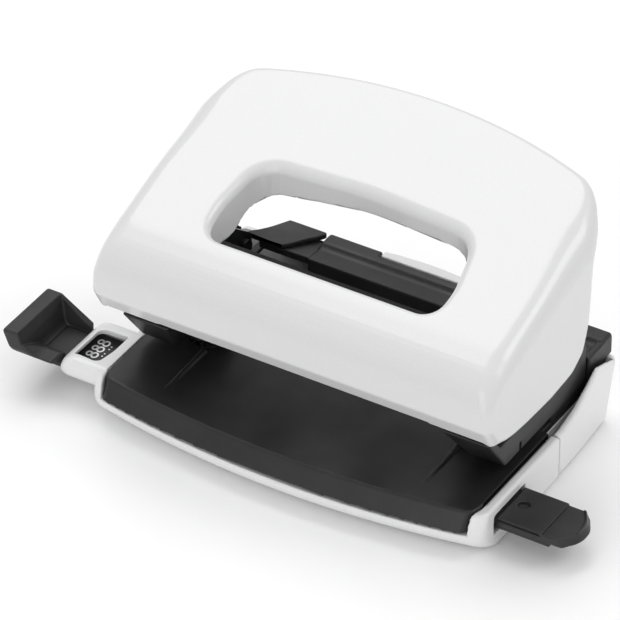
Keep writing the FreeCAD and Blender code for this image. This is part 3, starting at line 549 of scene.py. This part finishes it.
def strip_field(x, y, z):
    """The black strip that carries the print, over the bar's full width."""
    low = (STRIP_LOW[0], BAR_LOW[1] + SKIN_GAP, STRIP_HIGH[2] - STRIP_DEPTH)
    high = (STRIP_HIGH[0], BAR_HIGH[1] - SKIN_GAP, STRIP_HIGH[2])
    return block((x, y, z), low, high, 0.12)


def ring_band(centre, radii, width=0.5, count=28):
    """Points and quads of a flat oval ring at the print's level."""
    points, faces = [], []
    for i in range(count):
        angle = 2 * math.pi * i / count
        for reach in (0.5, -0.5):
            points.append((centre[0] + (radii[0] + reach * width) * math.cos(angle),
                           centre[1] + (radii[1] + reach * width) * math.sin(angle), PRINT_LEVEL))
        a, b = 2 * i, 2 * ((i + 1) % count)
        faces.append((a, b, b + 1, a + 1))
    return points, faces


def disc(centre, radius=0.24, count=12):
    """Points and one face of a flat dot at the print's level."""
    points = [(centre[0] + radius * math.cos(2 * math.pi * i / count),
               centre[1] + radius * math.sin(2 * math.pi * i / count), PRINT_LEVEL) for i in range(count)]
    return points, [tuple(range(count))]


def build_marks(name, centre_x=-64.3, first_y=-17.2, pitch=2.8):
    """Three figures of two rings each, read along +Y, and a row of small dots beside them."""
    points, faces, shapes = [], [], []
    for i in range(3):
        y = first_y + pitch * i
        shapes.append(ring_band((centre_x - 0.92, y), (0.68, 0.82)))
        shapes.append(ring_band((centre_x + 0.72, y), (0.80, 1.02)))
    for y in (-16.6, -15.4, -13.3, -12.1):
        shapes.append(disc((centre_x + 2.6, y)))
    for more_points, more_faces in shapes:
        faces += [tuple(k + len(points) for k in face) for face in more_faces]
        points += more_points
    obj = new_object(name, points, faces, smooth=False)
    thick = obj.modifiers.new("thickness", "SOLIDIFY")
    thick.thickness, thick.offset = 0.04 * MM, 1
    return attach(obj, "format_bar", "scale_print", PRINT_WHITE)


def build_bar():
    moulded("guide_bar", bar_field, 0.5, "format_bar", "bar_plastic", BAR_BLACK)
    moulded("paper_stop", stop_field, 0.3, "format_bar", "bar_plastic", BAR_BLACK)
    moulded("bar_end_cap", cap_field, 0.3, "format_bar", "bar_plastic", BAR_BLACK)
    low = np.array((STRIP_LOW[0], BAR_LOW[1], STRIP_LOW[2] - STRIP_DEPTH))
    high = np.array((STRIP_HIGH[0], BAR_HIGH[1], STRIP_HIGH[2]))
    moulded("format_scale", strip_field, 0.6, "format_bar", "scale_print", PRINT_BLACK, low, high)
    build_marks("format_figures")


# ---------------------------------------------------------------- rear: drawer, deck and lock
DRAWER_INNER = 54.9          # half-width between its side walls
DRAWER_SIDE = outline([(4, 0.6, 0), (37.8, 0.6, 1.6), (43.1, 17.0, 0.9), (31.4, 20.5, 0.9),
                       (27.0, 17.9, 3), (20.4, 14.8, 6), (13.5, RIM_TOP, 4), (4, RIM_TOP, 0)])
DRAWER_ROOM = outline([(5, -6, 0), (35.6, -6, 0), (35.8, 0.6, 1), (41.2, 17.3, 0.5),
                       (41.2, 30, 0), (5, 30, 0)])


def drawer_field(x, y, z):
    """The chip drawer: white outer wall, the bin inside and the grip at the back."""
    side = np.abs(x) - (BASE_HALF - 0.055 * past(y - 14, 5))
    body = both(side, within(DRAWER_SIDE, y, z), 1.3 - 0.5 * ramp(y, 12, 18) + 1.0 * ramp(y, 34, 40))
    body = both(body, SEAM + 0.3 - y, 0.1)
    room = both(np.abs(x) - DRAWER_INNER, within(DRAWER_ROOM, y, z))
    body = without(body, room, 0.5)
    above = block((x, y, z), (-DRAWER_INNER, 29, 17.3), (DRAWER_INNER, 50, 40), 0.1)
    body = without(body, above, 0.2)
    chip_bin = block((x, y, z), (-46, -5, 3.2), (46, 37, 10.8), 0.6)
    chip_bin = without(chip_bin, block((x, y, z), (-44.5, -3.8, 4.4), (44.5, 36, 14), 0.8), 0.3)
    grip = both(block((x, y, z), (-13.2, 40.9, 16), (13.2, 46, 23.9), 0.5), y - 44.4 + 0.006 * x * x, 0.6)
    return either(either(body, chip_bin, 0.3), grip, 0.3)


DECK_LEFT, SHELF_RIGHT, SHELF_TOP = -29.4, -25.6, 22.2
DECK_SIDE = outline([(30.8, 13.6, 0), (30.8, 23.3, 0.35), (36.9, 22.75, 3), (38.6, 23.85, 2),
                     (42.9, 24.0, 0.9), (42.9, 17.6, 0.3), (41.2, 17.6, 0.3), (41.2, 21.2, 0.5),
                     (32.4, 21.2, 0.5), (32.4, 13.6, 0)])
DECK_END = outline([(30.8, 13.6, 0), (30.8, 23.2, 0.4), (42.9, 23.6, 0.9), (42.9, 17.6, 0.3),
                    (40.4, 17.6, 0.5), (37.2, 13.6, 0)])
LOW_END = outline([(30.8, 13.6, 0), (30.8, 17.6, 0.5), (37.6, 17.6, 0.6), (36.2, 13.6, 0)])
LOCK_SLOT = outline([(-48.4, 31.8, 0.3), (-44.8, 31.8, 0.3), (-44.8, 36.4, 0.3), (-35.1, 36.4, 0.3),
                     (-35.1, 40.0, 0.3), (-48.4, 40.0, 0.3)])


def deck_field(x, y, z):
    """The rear deck, with its end walls, the lock's shelf and slot, and a notch for the drawer's grip."""
    body = both(within(DECK_SIDE, y, z), span(x, DECK_LEFT, DECK_HIGH[0]), 0.9)
    body = either(body, both(within(DECK_END, y, z), span(x, DECK_HIGH[0] - WALL, DECK_HIGH[0]), 0.6))
    body = either(body, both(within(LOW_END, y, z), span(x, DECK_LOW[0], DECK_LOW[0] + WALL), 0.6))
    shelf = block((x, y, z), (DECK_LOW[0], 32.4, 19.9), (SHELF_RIGHT, 41.0, SHELF_TOP), 0.4)
    shelf = both(shelf, y - 41 - 1.1 * (x + 41), 0.4)
    sill = block((x, y, z), (DECK_LOW[0], 30.8, 13.6), (SHELF_RIGHT, 32.4, 16.4), 0.2)
    body = either(either(body, shelf, 0.2), sill, 0.2)
    body = without(body, both(within(LOCK_SLOT, x, y), span(z, 19, 23)), 0.1)
    return without(body, block((x, y, z), (-13.6, 40.5, 16), (13.6, 44, 25), 0.4), 0.3)


LOCK_PLAN = outline([(-29.8, 42.6, 0.5), (-41.4, 42.6, 0.8), (-46.8, 34.6, 5), (-50.4, 30.4, 0.5),
                     (-46.2, 28.9, 6), (-42.4, 28.7, 8), (-37.2, 32.4, 12), (-33.4, 37.4, 3),
                     (-31.6, 39.4, 3)])


def lock_field(x, y, z):
    """The lock's tab on the shelf, its stem through the slot and the hook below."""
    dish = 0.5 * ramp(-np.hypot(x + 41, (y - 36) * 1.3), -9, -2)
    tab = both(both(within(LOCK_PLAN, x, y), z - DECK_HIGH[2] + 0.1 + dish, 0.45), SHELF_TOP - z, 0.3)
    stem = block((x, y, z), (-38.5, 37, 18.5), (-35.5, 39.5, 23), 0.2)
    hook = block((x, y, z), (-44.5, 37, 18.5), (-35.5, 39.5, 19.4), 0.2)
    return either(either(tab, stem, 0.3), hook)


def build_rear():
    moulded("chip_drawer", drawer_field, 0.62, "drawer", "white_plastic", BASE_WHITE)
    moulded("rear_deck", deck_field, 0.4, "base", "black_plastic", BLACK)
    moulded("handle_lock", lock_field, 0.3, "lock", "black_plastic", BLACK)


# ---------------------------------------------------------------- punching head
GAP_TOP = HEAD_LOW[2] + 2.7  # the paper gap's ceiling
BEAK = [(-13.4, 24.0, 1), (-16.6, 28.4, 0.5), (-19.8, 28.4, 0.4), (-11.1, 16.9, 0.5)]
WALL_SIDE = outline([(-10.5, GAP_TOP, 0.3), (30.4, GAP_TOP, 0.3), (30.4, 27.6, 1), (28.2, 29.0, 1),
                     (21.0, 29.0, 2), (15.0, 24.0, 2)] + BEAK)
NOSE_SIDE = outline([(-10.5, GAP_TOP, 0.3), (12.0, GAP_TOP, 0.3), (12.0, 24.0, 0.5)] + BEAK)
WALL_IN = 51.2               # X of the side wall's inner face
PIN_BORE, SPRING_BORE, SPRING_SEAT = 2.8, 4.6, 19.2


def head_field(x, y, z):
    """The right-hand guide block of the head."""
    wall = both(within(WALL_SIDE, y, z), span(x, WALL_IN, HEAD_HIGH[0]), 0.4)
    inner_end = 40.7 + 0.25 * (24 - z)
    nose = both(within(NOSE_SIDE, y, z), np.maximum(inner_end - x, x - 51.5), 0.5)
    drum = both(rod(x, y, (PIN_AT, 0), 6.2), span(z, GAP_TOP, 24), 0.4)
    web = block((x, y, z), (33.9, -1.5, GAP_TOP), (41, 12, 19), 0.4)
    foot = block((x, y, z), (WALL_IN, 13.9, PAPER), (RAIL_OUT, 30.4, 17), 0.2)
    body = either(either(either(wall, nose, 0.3), drum, 0.3), either(web, foot))
    bore = either(both(rod(x, y, (PIN_AT, 0), PIN_BORE), span(z, 10, 30)),
                  both(rod(x, y, (PIN_AT, 0), SPRING_BORE), span(z, SPRING_SEAT, 30)))
    body = without(body, bore, 0.1)
    notch = block((x, y, z), (52.3, -3.4, 14), (55, -2.6, 18.9), 0.1)
    hinge_hole = both(rod(y, z, HINGE, 3.2), span(x, 50.9, 52.2))
    return without(without(body, notch, 0.15), hinge_hole, 0.1)


def head_field_left(x, y, z):
    """Its mirror image on the left."""
    return head_field(-x, y, z)


def tube(points, radius, sides=10):
    """Points and quads of a round wire along a line of points."""
    points = np.asarray(points, float)
    along = np.gradient(points, axis=0)
    along /= np.linalg.norm(along, axis=1, keepdims=True)
    across = np.cross(along, (0, 0, 1))
    across /= np.linalg.norm(across, axis=1, keepdims=True)
    upward = np.cross(across, along)
    angles = np.linspace(0, 2 * math.pi, sides, endpoint=False)
    rings = [p + radius * (math.cos(a) * s + math.sin(a) * t)
             for p, s, t in zip(points, across, upward) for a in angles]
    faces = []
    for i in range(len(points) - 1):
        for j in range(sides):
            a, b = i * sides + j, i * sides + (j + 1) % sides
            faces.append((a, b, b + sides, a + sides))
    faces.append(tuple(range(sides))[::-1])
    faces.append(tuple(range((len(points) - 1) * sides, len(points) * sides)))
    return rings, faces


def build_spring(word, side):
    """Compression spring with closed ends."""
    low, high = 19.65, 31.15
    turns, wire, mean, per_turn = 8.0, 0.4, 3.75, 28
    closed, closed_rise = 0.9, 0.075        # turns at each end, and their share of the height
    path = []
    for i in range(int(turns * per_turn) + 1):
        t = i / (turns * per_turn)
        rise = np.clip((t * turns - closed) / (turns - 2 * closed), 0, 1)
        angle = 2 * math.pi * turns * t
        lift = low + (high - low) * (closed_rise * min(t * turns, closed) / closed
                                     + (1 - 2 * closed_rise) * rise
                                     + closed_rise * max(t * turns - turns + closed, 0) / closed)
        path.append((side * PIN_AT + mean * math.cos(angle), mean * math.sin(angle), lift))
    obj = new_object("return_coil_" + word, *tube(path, wire))
    attach(obj, "base", "spring_steel", WIRE_STEEL, "return_spring_" + word)
    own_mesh(obj)


def build_head():
    moulded("head_block_right", head_field, 0.45, "base", "black_plastic", BLACK)
    moulded("head_block_left", head_field_left, 0.45, "base", "black_plastic", BLACK)
    for word, side in (("left", -1), ("right", 1)):
        build_spring(word, side)


# ---------------------------------------------------------------- handle
FINE = 7                     # steps in each arc of the handle's outlines
HANDLE_SIDE = outline([(-23.9, 32.3, 0.8), (-27.2, 38.3, 3.5), (-27.3, 44.5, 12), (-24.6, 51.0, 12),
                       (-16.0, 55.36, 26), (50.0, 77.63, 0), (50.0, 72.0, 0), (36.0, 68.2, 4),
                       (29.5, 56.0, 12), (22.7, 40.7, 8), (20.0, 33.7, 4), (14.6, 30.4, 6),
                       (4.0, 29.5, 20), (-8.6, 30.0, 30), (-18.6, 31.0, 2)], FINE)
HANDLE_ROOM = outline([(-21.6, 20, 0), (-24.9, 38.6, 2), (-24.9, 44.0, 10), (-22.4, 49.6, 10),
                       (-14.0, 53.6, 22), (60, 78.6, 0), (60, 20, 0)], FINE)
OPENING = outline([(-32.8, -12.4, 5), (32.8, -12.4, 5), (33.6, -3.5, 20), (30.8, 11.6, 8), (0, 13.4, 90),
                   (-30.8, 11.6, 8), (-33.6, -3.5, 20)], FINE)
REAR_RADIUS = 155.0


def handle_width(y, z):
    """Half-width of the handle, drawn in a little towards the front."""
    front = 0.0006 * np.minimum(y, 0) ** 2 * ramp(z, 36, 50)
    return HANDLE_HIGH[0] - 0.05 - front


def handle_field(x, y, z):
    """The hollow handle: hand opening, the flange round it and a notch in the lower front edge."""
    side = np.abs(x) - handle_width(y, z)
    profile = within(HANDLE_SIDE, y, z)
    rear = np.hypot(x, y - HANDLE_HIGH[1] + 0.1 + REAR_RADIUS) - REAR_RADIUS
    plan = both(side, rear, 11.0)
    at_rear = ramp(rear - side, -8, 12)
    edge = 1.0 + 5.0 * ramp(z, 38, 56) - 3.6 * ramp(rear, -13, -3) * at_rear
    edge = edge + 2.0 * ramp(y, -2, 22) * (1 - at_rear) * ramp(z, 50, 62)
    corner = 1.0 + 1.4 * ramp(-y, 14, 24)
    outer = both(profile, plan, np.maximum(edge, corner))
    opening = within(OPENING, x, y)
    outer = without(outer, opening, 2.6)
    lip = np.maximum(-(rear + WALL), -(profile + 4.5))
    flange_low = 47.5 + 11.3 * ramp(y, -1, 14) - 0.1 * past(-x, 5) * ramp(y, 4, 11)
    flange = np.maximum(opening - 1.8, flange_low - z)
    room = both(within(HANDLE_ROOM, y, z), side + WALL, 1.5 + 5.5 * ramp(z, 46, 60))
    room = without(without(room, lip, 0.5), flange, 0.6)
    body = without(outer, room, 0.6)
    notch = block((x, y, z), (-39, -40, 20), (39, -18, 33.5), 0.2)
    return without(body, notch, 0.3)


def build_handle():
    moulded("handle_shell", handle_field, 0.65, "lever", "handle_white", HANDLE_WHITE)


build_base()
build_bar()
build_rear()
build_head()
build_handle()


# ---------------------------------------------------------------- stage, lights and camera
def stage():
    """A plain pale table top."""
    count, reach = 12, 3.0
    steps = np.linspace(-reach, reach, count)
    points = [(x / MM, y / MM, 0) for y in steps for x in steps]
    faces = [(j * count + i, j * count + i + 1, (j + 1) * count + i + 1, (j + 1) * count + i)
             for j in range(count - 1) for i in range(count - 1)]
    floor = new_object("table_top", points, faces)
    m = Nodes("table_white")
    m.tint(m.between(m.noise(60, 2), 0, 1), (0.96, 0.96, 0.96), (0.98, 0.98, 0.98))
    m.rough(m.between(m.noise(30, 2), 0.5, 0.6))
    floor.data.materials.append(m.material)


def softbox(name, place, aim, size, power):
    """A square area light pointed at a place."""
    light = bpy.data.lights.new(name, "AREA")
    light.shape, light.size, light.energy = "SQUARE", size, power
    obj = bpy.data.objects.new(name, light)
    obj.location = place
    obj.rotation_euler = (Vector(aim) - Vector(place)).to_track_quat("-Z", "Y").to_euler()
    bpy.context.scene.collection.objects.link(obj)


def sky(strength):
    """Even white light from all round."""
    world = bpy.data.worlds.new("studio")
    world.use_nodes = True
    back = world.node_tree.nodes["Background"]
    back.inputs["Color"].default_value = (1, 1, 1, 1)
    back.inputs["Strength"].default_value = strength
    bpy.context.scene.world = world


def camera():
    """The studio camera: a long lens to the right of the front, looking down."""
    azimuth, elevation = math.radians(31.23), math.radians(36.42)
    distance, aim = 1.35955, Vector((0, -0.015876, 0.047336))
    back = Vector((math.sin(azimuth) * math.cos(elevation), -math.cos(azimuth) * math.cos(elevation),
                   math.sin(elevation)))
    data = bpy.data.cameras.new("camera")
    data.lens, data.sensor_width = 319.7, 36.0
    data.clip_end = 20
    obj = bpy.data.objects.new("camera", data)
    obj.location = aim + distance * back
    obj.rotation_euler = (-back).to_track_quat("-Z", "Y").to_euler()
    bpy.context.scene.collection.objects.link(obj)
    bpy.context.scene.camera = obj


stage()
sky(0.70)
softbox("key", (-0.5, 0.35, 1.2), (0, 0, 0.03), 0.9, 6)
softbox("edge_glint", (0.82, 0.33, 0.98), (0, 0, 0.05), 0.5, 2.4)
softbox("front_fill", (0.15, -1.2, 0.45), (0, 0, 0.04), 0.9, 2.8)
camera()
bpy.context.scene.view_settings.view_transform = "Standard"
